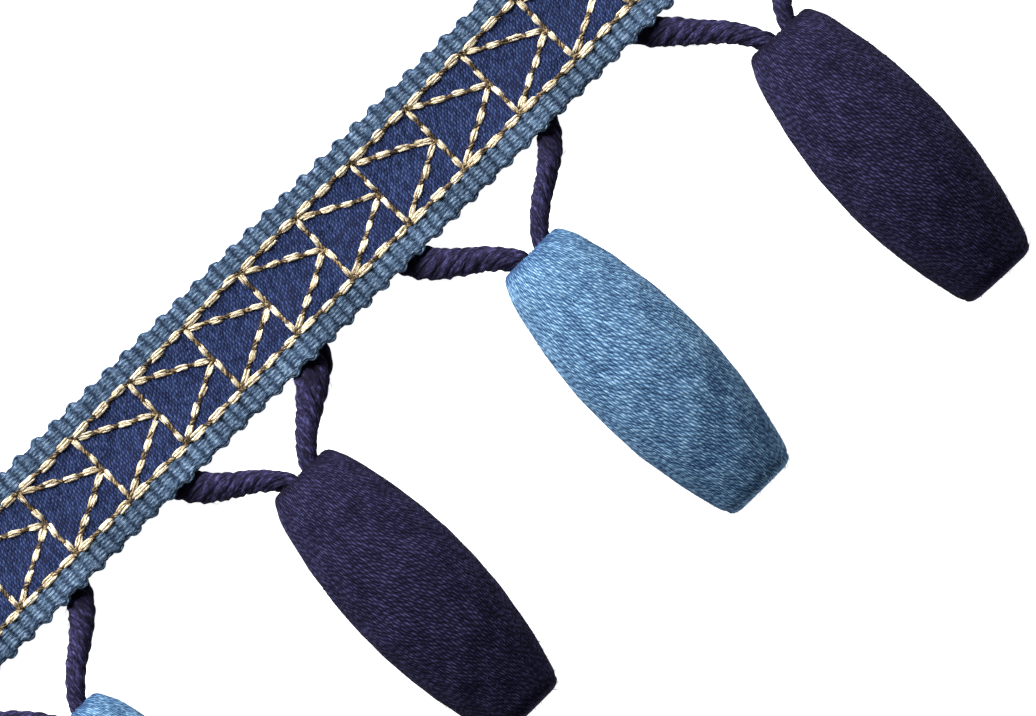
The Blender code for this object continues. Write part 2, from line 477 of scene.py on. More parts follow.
def tube_quads(rings, sides):
    """Quads of one closed tube of points (ring, side), then those that fill its two ends."""
    index = np.arange(rings * sides).reshape(rings, sides)
    across = np.roll(index, -1, axis=1)
    walls = np.stack((index[:-1], across[:-1], across[1:], index[1:]), axis=-1).reshape(-1, 4)
    first = end_quads(index[0])
    last = [quad[::-1] for quad in end_quads(index[-1])]
    return np.concatenate((walls, first, last))


def many_tubes_quads(tubes, rings, sides):
    """Quads of closed tubes whose points come as (tube, ring, side)."""
    starts = np.arange(tubes)[:, None, None] * rings * sides
    return (tube_quads(rings, sides)[None] + starts).reshape(-1, 4)


def signed_volume(points, quads):
    """Six times the volume inside the quads, below zero where they face inwards."""
    a, b, c, d = (points[quads[:, k]] for k in range(4))
    return (np.cross(a, b) * c).sum() + (np.cross(a, c) * d).sum()


def make_piece(name, points, quads, materials, slot, tone, thread, face_material=None):
    """One closed mesh from points in millimetres, with its tone and thread attributes."""
    points = np.asarray(points, float).reshape(-1, 3)
    quads = np.asarray(quads)
    if signed_volume(points, quads) < 0:
        quads = quads[:, ::-1]
    mesh = bpy.data.meshes.new(name)
    mesh.from_pydata(points * MM, [], quads)
    mesh.attributes.new("tone", "FLOAT", "POINT")
    mesh.attributes["tone"].data.foreach_set("value", np.ascontiguousarray(tone, np.float32).ravel())
    mesh.attributes.new("thread", "FLOAT_VECTOR", "POINT")
    thread = np.ascontiguousarray(thread, np.float32).ravel()
    mesh.attributes["thread"].data.foreach_set("vector", thread)
    for material in materials:
        mesh.materials.append(material)
    if face_material is not None:
        mesh.polygons.foreach_set("material_index", face_material)
    mesh.shade_smooth()
    piece = bpy.data.objects.new(name, mesh)
    bpy.context.scene.collection.objects.link(piece)
    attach(piece, BODY)
    return piece


def math_node(tree, operation, *values):
    """A math node fed with sockets or numbers; gives its output."""
    node = tree.nodes.new("ShaderNodeMath")
    node.operation = operation
    for socket, value in zip(node.inputs, values):
        if isinstance(value, (int, float)):
            socket.default_value = value
        else:
            tree.links.new(value, socket)
    return node.outputs["Value"]


def map_range(tree, value, from_low, from_high, to_low, to_high):
    node = tree.nodes.new("ShaderNodeMapRange")
    node.inputs["From Min"].default_value = from_low
    node.inputs["From Max"].default_value = from_high
    node.inputs["To Min"].default_value = to_low
    node.inputs["To Max"].default_value = to_high
    tree.links.new(value, node.inputs["Value"])
    return node.outputs["Result"]


def noise_node(tree, vector, scale, detail):
    node = tree.nodes.new("ShaderNodeTexNoise")
    node.inputs["Scale"].default_value = scale
    node.inputs["Detail"].default_value = detail
    node.inputs["Roughness"].default_value = NOISE_ROUGHNESS
    tree.links.new(vector, node.inputs["Vector"])
    return node.outputs["Fac"]


def loose_dashes(tree, vector, flat):
    """Height and chance, 0 to 1, of dashes strewn one to each unit of the thread."""
    cells = tree.nodes.new("ShaderNodeTexVoronoi")
    cells.voronoi_dimensions = "2D" if flat else "3D"
    cells.inputs["Scale"].default_value = 1.0
    cells.inputs["Randomness"].default_value = FLAT_RANDOMNESS if flat else 1.0
    tree.links.new(vector, cells.inputs["Vector"])
    height = map_range(tree, cells.outputs["Distance"], *DASH_SPAN, 1.0, 0.0)
    return height, map_range(tree, cells.outputs["Color"], *CHANCE_SPAN, 0.0, 1.0)


def half_wave(tree, share):
    """Rises from 0 to 1 and falls back to 0 while share goes from 0 to 1."""
    return math_node(tree, "SINE", math_node(tree, "MULTIPLY", share, math.pi))


def plied_dashes(tree, vector):
    """Height and chance, 0 to 1, of the plies that cross each wound yarn, one yarn to a unit."""
    split = tree.nodes.new("ShaderNodeSeparateXYZ")
    tree.links.new(vector, split.inputs["Vector"])
    yarn = math_node(tree, "FLOOR", split.outputs["X"])
    within = math_node(tree, "FRACT", split.outputs["X"])
    start = tree.nodes.new("ShaderNodeTexWhiteNoise")
    start.noise_dimensions = "1D"
    tree.links.new(yarn, start.inputs["W"])
    slant = math_node(tree, "MULTIPLY", within, PLY_SLANT)
    shift = math_node(tree, "MULTIPLY", start.outputs["Value"], PLY_STARTS)
    turn = math_node(tree, "ADD", math_node(tree, "ADD", split.outputs["Y"], slant), shift)
    number = math_node(tree, "FLOOR", turn)
    crest = math_node(tree, "POWER", half_wave(tree, math_node(tree, "FRACT", turn)), PLY_CREST)
    height = math_node(tree, "MULTIPLY", crest, half_wave(tree, within))
    pair = tree.nodes.new("ShaderNodeCombineXYZ")
    tree.links.new(yarn, pair.inputs["X"])
    tree.links.new(number, pair.inputs["Y"])
    chance = tree.nodes.new("ShaderNodeTexWhiteNoise")
    chance.noise_dimensions = "2D"
    tree.links.new(pair.outputs["Vector"], chance.inputs["Vector"])
    return height, chance.outputs["Value"]


def yarn_material(
    name, stops, roughness=0.9, gloss=0.12, mottle=0.15, dashes=0.0, luck=0.0, bump=0.25,
    metallic=0.0, kind="loose",
):
    """Yarn coloured by its tone, with short dashes, mottling and fibres along its thread. The dashes get
    painted light on their crowns and painted shade in their gaps, as strong as dashes says.
    """
    material = bpy.data.materials.new(name)
    material.use_nodes = True
    tree = material.node_tree
    shader = tree.nodes["Principled BSDF"]
    shader.inputs["Roughness"].default_value = roughness
    shader.inputs["Metallic"].default_value = metallic
    shader.inputs["Specular IOR Level"].default_value = gloss

    tone = tree.nodes.new("ShaderNodeAttribute")
    tone.attribute_name = "tone"
    thread = tree.nodes.new("ShaderNodeAttribute")
    thread.attribute_name = "thread"
    vector = thread.outputs["Vector"]
    if kind == "plied":
        height, chance = plied_dashes(tree, vector)
    else:
        height, chance = loose_dashes(tree, vector, kind == "flat")
    mottling = map_range(tree, noise_node(tree, vector, *MOTTLE_NOISE), *NOISE_SPAN, -mottle, mottle)
    shade = math_node(tree, "ADD", tone.outputs["Fac"], mottling)
    painted_dash_shading = map_range(tree, height, 0.0, 1.0, -dashes * 0.5, dashes * 0.5)
    shade = math_node(tree, "ADD", shade, painted_dash_shading)
    shade = math_node(tree, "ADD", shade, map_range(tree, chance, 0.0, 1.0, -luck / 2, luck / 2))
    ramp = tree.nodes.new("ShaderNodeValToRGB")
    while len(ramp.color_ramp.elements) < len(stops):
        ramp.color_ramp.elements.new(0.5)
    for element, (place, colour) in zip(ramp.color_ramp.elements, stops):
        element.position = place
        element.color = (*colour, 1.0)
    tree.links.new(shade, ramp.inputs["Fac"])
    tree.links.new(ramp.outputs["Color"], shader.inputs["Base Color"])

    fibres = math_node(tree, "MULTIPLY", noise_node(tree, vector, *FIBRE_NOISE), FIBRE_SHARE)
    relief = tree.nodes.new("ShaderNodeBump")
    relief.inputs["Strength"].default_value = bump
    relief.inputs["Distance"].default_value = BUMP_DEPTH * MM
    tree.links.new(math_node(tree, "ADD", fibres, height), relief.inputs["Height"])
    tree.links.new(relief.outputs["Normal"], shader.inputs["Normal"])
    return material


MATERIALS = {
    "light_yarn": yarn_material(
        "light_yarn",
        ((0.0, (0.015, 0.038, 0.096)), (0.5, (0.089, 0.197, 0.342)), (1.0, (0.310, 0.480, 0.640))),
        dashes=0.70, luck=0.46, mottle=0.18, bump=0.50, kind="plied",
    ),
    "dark_yarn": yarn_material(
        "dark_yarn",
        ((0.0, (0.004, 0.003, 0.009)), (0.5, (0.0145, 0.013, 0.037)), (1.0, (0.058, 0.058, 0.145))),
        gloss=0.04, dashes=0.64, luck=0.34, mottle=0.12, bump=0.50, kind="plied",
    ),
    "hanger_cord": yarn_material(
        "hanger_cord",
        ((0.0, (0.006, 0.005, 0.011)), (0.5, (0.016, 0.014, 0.040)), (1.0, (0.058, 0.056, 0.150))),
        gloss=0.04, dashes=0.34, luck=0.42, mottle=0.50, bump=0.5,
    ),
    "border_yarn": yarn_material(
        "border_yarn",
        ((0.0, (0.009, 0.018, 0.038)), (0.5, (0.060, 0.100, 0.165)), (1.0, (0.230, 0.320, 0.430))),
        dashes=0.40, luck=0.34, mottle=0.24, bump=0.35, kind="flat",
    ),
    "heading_weave": yarn_material(
        "heading_weave",
        ((0.0, (0.006, 0.008, 0.024)), (0.5, (0.026, 0.043, 0.120)), (1.0, (0.090, 0.120, 0.265))),
        gloss=0.06, dashes=0.50, luck=0.38, mottle=0.20, bump=0.40, kind="plied",
    ),
    "gold_yarn": yarn_material(
        "gold_yarn",
        ((0.0, (0.110, 0.065, 0.025)), (0.4, (0.520, 0.410, 0.250)), (1.0, (0.800, 0.720, 0.550))),
        roughness=0.55, gloss=0.2, mottle=0.55, dashes=0.50, luck=0.5, bump=0.5, metallic=0.05,
    ),
    "brown_yarn": yarn_material(
        "brown_yarn",
        ((0.0, (0.022, 0.014, 0.008)), (0.5, (0.088, 0.058, 0.026)), (1.0, (0.320, 0.240, 0.130))),
        roughness=0.6, gloss=0.2, mottle=0.5, luck=0.6,
    ),
}


def cord_feet():
    """Where each cord's leg passes the heading's edge, and the side that it leans to."""
    feet = []
    for _, x, _, _, _, left, right in DROPS:
        feet += [(x - left[0], -1), (x + right[0], 1)]
    return feet


def read_rows(rows, place):
    places, values = zip(*rows)
    return np.interp(place, places, values)


def back_height(x, distance):
    """Height of the heading's back, which rises over the cords' ends along the lower border."""
    over = np.zeros(np.broadcast(x, distance).shape)
    for foot_x, side in cord_feet():
        away = np.abs(x - foot_x - side * FOOT_SLANT * distance) / LIFT_HALF_WIDTH
        over = np.maximum(over, np.cos(np.minimum(away, 1.0) * np.pi / 2) ** 2)
    lift = LIFT_BETWEEN + (LIFT_OVER_CORD - LIFT_BETWEEN) * over
    return lift * read_rows(LIFT_ROWS, distance)


def front_height(x, distance):
    return back_height(x, distance) + read_rows(FRONT_ROWS, distance)


def loop_reach(x, edge):
    """How far a looped edge stands out beyond the plain edge, at each place along it."""
    start, height, phase, power = edge
    along = (x - phase) / SCALLOP_PITCH
    uneven = 1.0 + LOOP_UNEVEN * np.sin(LOOP_BEAT * np.rint(along) + phase)
    return start + height * uneven * np.maximum(np.cos(2 * np.pi * along), 0.0) ** power


def edge_shift(x, distance):
    """How far the loops move the cloth in Y near its two edges."""
    upper = np.clip(1.0 - (HEADING_WIDTH - distance) / LOOP_DEPTH, 0.0, 1.0)
    lower = np.clip(1.0 - distance / LOOP_DEPTH, 0.0, 1.0)
    return upper * loop_reach(x, UPPER_LOOPS) - lower * loop_reach(x, LOWER_LOOPS)


def by_cell(table, first, second):
    """Reads a table of random numbers by two whole-numbered fields, round and round."""
    return table[first.astype(int) % len(table), second.astype(int) % table.shape[1]]


def border_weave(x, distance, rng):
    """Height and tone, 0 to 1, of a border: short floats in ribs, staggered from rib to rib. The tone
    has painted light on the floats' crowns and painted shade in the rib valleys.
    """
    rib = x / RIB_PITCH
    row = distance / FLOAT_PITCH
    chance = rng.random(BORDER_CHANCES)
    crown = np.zeros(np.broadcast(x, distance).shape)
    shade = np.zeros_like(crown)
    for step in (-1, 0, 1):
        column = np.floor(rib) + step + 0 * row
        jitter = FLOAT_JITTER * (by_cell(chance, column + JITTER_COLUMN, np.floor(row)) - 0.5)
        across = (rib - column - 0.5 + jitter) / FLOAT_REACH
        stagger = FLOAT_STAGGER * (by_cell(chance, column, 0 * column) - 0.5)
        place = row + 0.5 * (column % 2) + stagger
        float_number = np.rint(place)
        luck = by_cell(chance, column, float_number)
        off = (place - float_number) / FLOAT_HALF
        here = 1.0 - np.abs(across) ** FLOAT_POWER - off ** 2 - FLOAT_LUCK * luck ** 3
        shade = np.where(here > crown, luck, shade)
        crown = np.maximum(crown, here)
    crown = np.sqrt(crown)
    valley = 1.0 - np.abs(np.sin(np.pi * x / RIB_PITCH))
    tone = BORDER_TONE + CROWN_PAINTED_LIGHT * crown ** CROWN_PAINTED_LIGHT_POWER + FLOAT_SHADE * shade * crown
    return crown, tone - VALLEY_PAINTED_SHADE * valley ** 2


def ground_weave(x, distance, rng):
    """Height and tone, 0 to 1, of the ground: upright dashes on every second station. The tone has
    painted light on the raised dashes and painted shade in the gaps.
    """
    column = np.rint(x / STATION)
    thread = np.floor(column / 2)
    chance = rng.random(GROUND_CHANCES)
    phase = 0.5 * (thread % 2) + DASH_STAGGER * by_cell(chance, thread, 0 * thread)
    wander = DASH_WANDER * smooth_waves(x + DASH_WAVE_SLANT * distance, rng, DASH_WAVE)
    place = distance / DASH_PITCH + phase + wander
    luck = by_cell(chance, thread, np.rint(place))
    off = np.abs(place - np.rint(place))
    dash = np.clip(DASH_CROWN - DASH_FALL * off + DASH_LUCK * luck, 0.0, 1.0)
    on_thread = (column % 2 == 0)
    crown = np.where(on_thread, dash, GAP_CROWN)
    dash_tone = GROUND_TONE + DASH_PAINTED_LIGHT * dash + DASH_LUCK_SHADE * luck * dash
    tone = np.where(on_thread, dash_tone, PAINTED_SHADE_GAP_TONE)
    specks = rng.random(tone.shape) < SPECK_SHARE
    return crown, tone - SPECK_SHADE * specks


def stations_along():
    """X of every station along the heading."""
    half = SCALLOPS * STATIONS_PER_RIB
    return np.arange(-half, half + 1) * STATION


def cloth_rows():
    """Distance of each row round the cloth from the lower edge: its front, then its back."""
    lower = np.arange(FIRST_ROW, BORDER_WIDTH, BORDER_ROW)
    ground = np.arange(BORDER_WIDTH + GROUND_INSIDE, UPPER_LINE - GROUND_INSIDE, GROUND_ROW)
    upper = np.arange(UPPER_LINE, HEADING_WIDTH - LAST_ROW_INSIDE, BORDER_ROW)
    back = np.linspace(HEADING_WIDTH - BACK_INSIDE, BACK_INSIDE, BACK_ROWS)
    return np.concatenate(([0.0], lower, ground, upper, [HEADING_WIDTH], back))


def shaded_cloth(tone, x, distance, in_border):
    """The weave's tone with painted light and shade over the whole cloth: by the ground's slope and near
    the two edges, and a lighter lower border.
    """
    after = front_height(x, distance + SLOPE_STEP)
    before = front_height(x, distance - SLOPE_STEP)
    slope = np.clip((after - before) / (2 * SLOPE_STEP), -SLOPE_LIMIT, SLOPE_LIMIT)
    near_lower = np.clip(1.0 - distance / LOWER_EDGE_REACH, 0.0, 1.0)
    near_upper = np.clip(1.0 - (HEADING_WIDTH - distance) / UPPER_EDGE_REACH, 0.0, 1.0)
    tone = np.where(in_border, tone, tone + SLOPE_PAINTED_SHADING * slope)
    tone = tone + LOWER_EDGE_PAINTED_LIGHT * near_lower - UPPER_EDGE_PAINTED_SHADE * near_upper
    return tone + LOWER_BORDER_SHADE * (distance < BORDER_WIDTH)


def make_heading_cloth(rng):
    """The woven cloth, as one thin closed sheet: its front, its edges and its back."""
    rows = cloth_rows()
    x, distance = np.meshgrid(stations_along(), rows)
    row_in_border = (rows < BORDER_WIDTH) | (rows >= UPPER_LINE)
    in_border = row_in_border[:, None]
    shift = edge_shift(x, distance)
    border, border_tone = border_weave(x, distance + shift, rng)
    ground, ground_tone = ground_weave(x, distance, rng)
    rib = RIB_RELIEF * (np.abs(np.sin(np.pi * x / RIB_PITCH)) - RIB_LEVEL)
    relief = np.where(in_border, FLOAT_RELIEF * (border - 0.5) + rib, DASH_RELIEF * (ground - 0.5))
    tone = shaded_cloth(np.where(in_border, border_tone, ground_tone), x, distance, in_border)

    z = front_height(x, distance) + relief
    z[-BACK_ROWS:] = back_height(x, distance)[-BACK_ROWS:]
    sections = np.stack((x, LOWER_EDGE_Y + distance + shift, z), axis=-1).transpose(1, 0, 2)
    thread_x = np.where(in_border, x / BORDER_CELL[0], 0.5 - x / (2 * STATION))
    thread_y = (distance + shift) / np.where(in_border, BORDER_CELL[1], GROUND_DASH)
    thread = np.stack((thread_x, thread_y, 0 * x), axis=-1).transpose(1, 0, 2)

    quads = tube_quads(*sections.shape[:2])
    face_material = np.zeros(len(quads), np.int32)
    walls = np.tile(row_in_border, len(sections) - 1)
    face_material[:len(walls)] = walls
    return make_piece(
        "heading_cloth", sections, quads, [MATERIALS["heading_weave"], MATERIALS["border_yarn"]],
        "heading_weave", tone.T, thread, face_material,
    )


def unit(vectors):
    """The vectors at length 1."""
    return vectors / np.maximum(np.linalg.norm(vectors, axis=-1, keepdims=True), TINY)


def tube_frames(paths):
    """Level and upright directions across each path of an array (tube, point, 3)."""
    along = unit(np.gradient(paths, axis=1))
    level = unit(np.cross(along, (0.0, 0.0, 1.0)))
    return level, np.cross(level, along)


def tube_points(paths, radii, sides, squash=1.0):
    """Rings of points about each path; radii broadcasts over (tube, point, side)."""
    level, upright = tube_frames(paths)
    angle = ring_angles(sides)
    across = np.cos(angle)[..., None] * level[:, :, None]
    up = np.sin(angle)[..., None] * upright[:, :, None] * squash
    return paths[:, :, None] + (across + up) * radii[..., None]


def make_edge_yarn(name, distance, outwards, edge):
    """A twisted yarn that rims one edge and loops out round every second rib. Its tone has painted light
    on the loops and on the ridges of its twist.
    """
    x = stations_along()
    start, height = edge[:2]
    reach = loop_reach(x, edge)
    y = LOWER_EDGE_Y + distance + outwards * reach
    z = back_height(x, np.full_like(x, distance)) + EDGE_YARN_HEIGHT
    path = np.stack((x, y, z), axis=-1)[None]
    angle = ring_angles(EDGE_YARN_SIDES)
    twist = np.cos(2 * angle[None, :] - 2 * np.pi * x[:, None] / EDGE_YARN_LAY)
    radii = EDGE_YARN_RADIUS * (1.0 + EDGE_YARN_RELIEF * twist)
    points = tube_points(path, radii[None], EDGE_YARN_SIDES)
    thread = EDGE_YARN_CELL * np.stack(
        np.broadcast_arrays(x[:, None], np.cos(angle), np.sin(angle)), axis=-1
    )
    loop = (reach - start) / height
    tone = EDGE_YARN_TONE + LOOP_PAINTED_LIGHT * loop[:, None] + TWIST_PAINTED_LIGHT * twist
    return make_piece(
        name, points, tube_quads(len(x), EDGE_YARN_SIDES), [MATERIALS["border_yarn"]],
        "border_yarn", tone, thread,
    )


def stitch_chart():
    """The stitches of one repeat: start and end as (x, distance), and the width of the stitch."""
    stitches = []
    for line in (LOWER_LINE, UPPER_LINE):
        for start, end in LINE_STITCHES:
            stitches.append(((start, line), (end, line), LINE_WIDTH))
    for share in UPRIGHT_STITCHES:
        middle = LOWER_LINE + (UPPER_LINE - LOWER_LINE) * share
        ends = (0.0, middle - UPRIGHT_HALF), (0.0, middle + UPRIGHT_HALF)
        stitches.append((*ends, UPRIGHT_WIDTH))
    for line in (LOWER_LINE, UPPER_LINE):
        inwards = np.sign(MIDDLE_LINE - line)
        start = np.array((CHEVRON_INSET, line + CHEVRON_FROM_LINE * inwards))
        end = np.array((CHEVRON_PITCH - CHEVRON_INSET, MIDDLE_LINE - CHEVRON_FROM_MIDDLE * inwards))
        reach = (end - start) / np.linalg.norm(end - start) * CHEVRON_HALF
        for share in CHEVRON_STITCHES:
            centre = start + (end - start) * share
            stitches.append((tuple(centre - reach), tuple(centre + reach), CHEVRON_WIDTH))
    return stitches


def brown_chart():
    """The dark connecting yarns of one repeat, which run on under all the light stitches."""
    inset_x, inset = BROWN_START
    point = (CHEVRON_PITCH, MIDDLE_LINE)
    return [
        ((0.0, LOWER_LINE), (CHEVRON_PITCH, LOWER_LINE)),
        ((0.0, UPPER_LINE), (CHEVRON_PITCH, UPPER_LINE)),
        ((0.0, LOWER_LINE), (0.0, UPPER_LINE)),
        ((inset_x, LOWER_LINE + inset), point),
        ((inset_x, UPPER_LINE - inset), point),
    ]


def repeats():
    """X of the upright of each repeat that meets the heading."""
    first = math.floor((-HEADING_LENGTH / 2 - CHEVRON_START) / CHEVRON_PITCH)
    last = math.ceil((HEADING_LENGTH / 2 - CHEVRON_START) / CHEVRON_PITCH)
    return [CHEVRON_START + CHEVRON_PITCH * k for k in range(first, last + 1)]


def on_heading(start, end, x):
    """Whether a stitch of the repeat at x lies on the heading with both ends."""
    return max(abs(start[0] + x), abs(end[0] + x)) < STITCH_LIMIT


def light_strand(a, b, width, lane, rng):
    """Path, radii and tones of one strand of a stitch, which dives into the cloth at a and b. The tones
    have painted light where it arches up.
    """
    share = np.linspace(0.0, 1.0, STRAND_POINTS)
    arch = np.sin(np.pi * share) ** ARCH_POWER
    along = (b - a) / np.linalg.norm(b - a)
    aside = np.array((-along[1], along[0]))
    wave = np.sin(2 * np.pi * (share * STRAND_BEAT + rng.uniform()))
    off = lane * width * STRAND_SPACING * (END_SPACING + (1.0 - END_SPACING) * arch)
    off = off + STRAND_SCATTER * rng.normal() + STRAND_SWING * wave
    trim = rng.uniform(*STRAND_TRIM, 2) + OUTER_TRIM * abs(lane)
    reach = trim[0] + (1.0 - trim.sum()) * share
    flat = a + (b - a) * reach[:, None] + aside * off[:, None]
    z = front_height(flat[:, 0], flat[:, 1]) - STRAND_SINK
    z += (STRAND_RISE - OUTER_SINK * lane ** 2) * arch + STRAND_UNEVEN * rng.normal()
    path = np.column_stack((flat[:, 0], LOWER_EDGE_Y + flat[:, 1], z))
    radii = width * STRAND_RADIUS * rng.uniform(*STRAND_SIZES)
    radii = radii * (END_RADIUS + (1.0 - END_RADIUS) * arch)
    tones = LIGHT_TONE + ARCH_PAINTED_LIGHT * arch + LUCK_SHADE * rng.normal()
    return path, radii, tones


def make_light_stitches(rng):
    """Raised stitches of three strands each."""
    made = []
    for x in repeats():
        for start, end, width in stitch_chart():
            if not on_heading(start, end, x):
                continue
            a = np.array(start) + (x, 0) + rng.normal(0, STITCH_SCATTER, 2)
            b = np.array(end) + (x, 0) + rng.normal(0, STITCH_SCATTER, 2)
            made += [light_strand(a, b, width, lane, rng) for lane in STRAND_LANES]
    paths, radii, tones = (np.array(values) for values in zip(*made))
    sides = STRAND_SIDES
    round_radii = radii[..., None] * np.ones(sides)
    points = tube_points(paths, round_radii, sides, squash=STRAND_SQUASH)
    tone = np.repeat(tones[..., None], sides, axis=-1)
    angle = ring_angles(sides)
    share = np.linspace(0.0, 1.0, STRAND_POINTS)[None, :, None]
    length = np.linalg.norm(paths[:, -1] - paths[:, 0], axis=1)[:, None, None]
    start = rng.uniform(0, STITCH_STARTS, len(paths))[:, None, None]
    along, round_strand = STITCH_CELLS
    thread = np.stack(np.broadcast_arrays(
        share * length * along + start, np.cos(angle) * round_strand, np.sin(angle) * round_strand,
    ), axis=-1)
    quads = many_tubes_quads(len(paths), STRAND_POINTS, sides)
    return make_piece(
        "light_stitches", points, quads, [MATERIALS["gold_yarn"]], "gold_yarn", tone, thread
    )


def brown_line(start, end, x):
    """The ends of one brown yarn of the repeat at x, cut off where the heading ends, or None."""
    a, b = np.array(start) + (x, 0), np.array(end) + (x, 0)
    a[0], b[0] = np.clip((a[0], b[0]), -STITCH_LIMIT, STITCH_LIMIT)
    upright = abs(a[0] - b[0]) < TINY
    if np.linalg.norm(b - a) < BROWN_SHORTEST or (upright and abs(a[0]) >= STITCH_LIMIT):
        return None
    return a, b


def brown_strands(a, b, x, rng):
    """Points (ring, side), tone and thread of each strand of one brown yarn, with painted light where a
    strand comes on top of the twist.
    """
    length = np.linalg.norm(b - a)
    rings = max(BROWN_RINGS, round(length / BROWN_STEP))
    share = np.linspace(0.0, 1.0, rings)
    gone = share * length
    aside = np.array((-(b - a)[1], (b - a)[0])) / length
    uneven = BROWN_UNEVEN * smooth_waves(gone, rng, BROWN_UNEVEN_WAVE)
    turn = 2 * np.pi * share * length / BROWN_LAY + uneven
    for strand in BROWN_STRANDS:
        wander = BROWN_WANDER * smooth_waves(gone, rng, BROWN_WAVE)
        off = BROWN_SWING * np.cos(turn + strand) + wander
        flat = a + (b - a) * share[:, None] + aside * off[:, None]
        z = front_height(flat[:, 0], flat[:, 1]) - BROWN_SINK + BROWN_RISE * np.sin(turn + strand)
        path = np.column_stack((flat[:, 0], LOWER_EDGE_Y + flat[:, 1], z))[None]
        points = tube_points(path, np.full((1, rings, BROWN_SIDES), BROWN_RADIUS), BROWN_SIDES)
        luck = BROWN_LUCK_SHADE * rng.normal(size=rings)
        tone = BROWN_TONE + BROWN_TWIST_PAINTED_LIGHT * np.sin(turn + strand) + luck
        along = np.repeat(gone, BROWN_SIDES)
        thread = np.column_stack((along, along * 0 + strand, along * 0 + x))
        yield points.reshape(-1, 3), np.repeat(tone, BROWN_SIDES), thread


def make_brown_stitches(rng):
    """The dark yarns between the light stitches: thin strands twisted round each other."""
    made = []
    for x in repeats():
        for start, end in brown_chart():
            line = brown_line(start, end, x)
            if line is not None:
                made += brown_strands(*line, x, rng)
    points, tones, threads = zip(*made)
    quads, count = [], 0
    for strand in points:
        quads.append(tube_quads(len(strand) // BROWN_SIDES, BROWN_SIDES) + count)
        count += len(strand)
    return make_piece(
        "brown_stitches", np.concatenate(points), np.concatenate(quads),
        [MATERIALS["brown_yarn"]], "gold_yarn", np.concatenate(tones), np.concatenate(threads),
    )


def smooth_curve(points, step):
    """Reads a smooth curve through rows of numbers, at even steps along its first columns."""
    points = np.asarray(points, float)
    ends = np.vstack((points[:1], points, points[-1:]))
    t = np.linspace(0.0, 1.0, CURVE_POINTS, endpoint=False)[:, None]
    fine = []
    for before, start, end, after in zip(ends, ends[1:], ends[2:], ends[3:]):
        fine.append(
            start
            + (end - before) / 2 * t
            + (2 * before - 5 * start + 4 * end - after) / 2 * t ** 2
            + (-before + 3 * start - 3 * end + after) / 2 * t ** 3
        )
    fine = np.vstack(fine + [points[-1:]])
    gone = np.concatenate(([0.0], np.cumsum(np.linalg.norm(np.diff(fine[:, :3], axis=0), axis=1))))
    even = np.linspace(0.0, gone[-1], max(2, round(gone[-1] / step)))
    return np.column_stack([np.interp(even, gone, column) for column in fine.T]), even


def barrel_radius(along):
    from_middle = (along - DROP_LENGTH / 2) / (DROP_LENGTH / 2)
    return DROP_END_RADIUS + (DROP_RADIUS - DROP_END_RADIUS) * (1.0 - from_middle ** 2)


def drop_profile(girth):
    """Radius and distance from the top, from the mouth's floor round to the lower dimple."""
    profile = list(TOP_RIM)
    barrel = np.linspace(BARREL_FROM, BARREL_TO, BARREL_POINTS)
    profile += [(barrel_radius(along), along) for along in barrel]
    profile += [(radius, DROP_LENGTH - above) for radius, above in LOWER_RIM]
    radius, along = np.array(profile).T
    radius = np.where(radius > MOUTH_RADIUS, radius * girth, radius)
    curve, even = smooth_curve(np.column_stack((radius, along, radius * 0)), DROP_RING)
    return curve[:, 0], curve[:, 1], even


def patches(gone, around, rng):
    """A smooth field of about -1 to 1 over a drop, which closes round it."""
    total = np.zeros(np.broadcast(gone, around).shape)
    for _ in range(PATCHES):
        turns = rng.integers(-PATCH_TURNS, PATCH_TURNS + 1)
        along = gone / rng.uniform(*PATCH_LENGTH) + rng.uniform()
        total = total + np.sin(2 * np.pi * along + turns * around)
    return total / math.sqrt(PATCHES)


def yarn_waves(gone, rng, wavelength):
    """A wandering value for each yarn of a drop, as (ring, yarn, 1)."""
    waves = [smooth_waves(gone, rng, wavelength) for _ in range(YARNS_AROUND)]
    return np.stack(waves, axis=1)[:, :, None]


def drop_tone(along, around, parts):
    """Tone of a drop's yarns, with its painted light and shade and random patches; parts has the fields
    that depend on more than the place.
    """
    parts["near_top"] = np.clip(1.0 - along / TOP_REACH, 0.0, 1.0) ** 2
    parts["near_end"] = np.clip((along - DROP_LENGTH + END_REACH) / END_REACH, 0.0, 1.0)
    parts["low_part"] = np.clip((along - LOW_FROM) / LOW_REACH, 0.0, 1.0)
    parts["limb"] = np.clip(1.0 - np.sin(around) / LIMB_REACH, 0.0, 1.0) ** 2
    return DROP_TONE + sum(DROP_PATCHES_AND_PAINTED_SHADING[name] * part for name, part in parts.items())


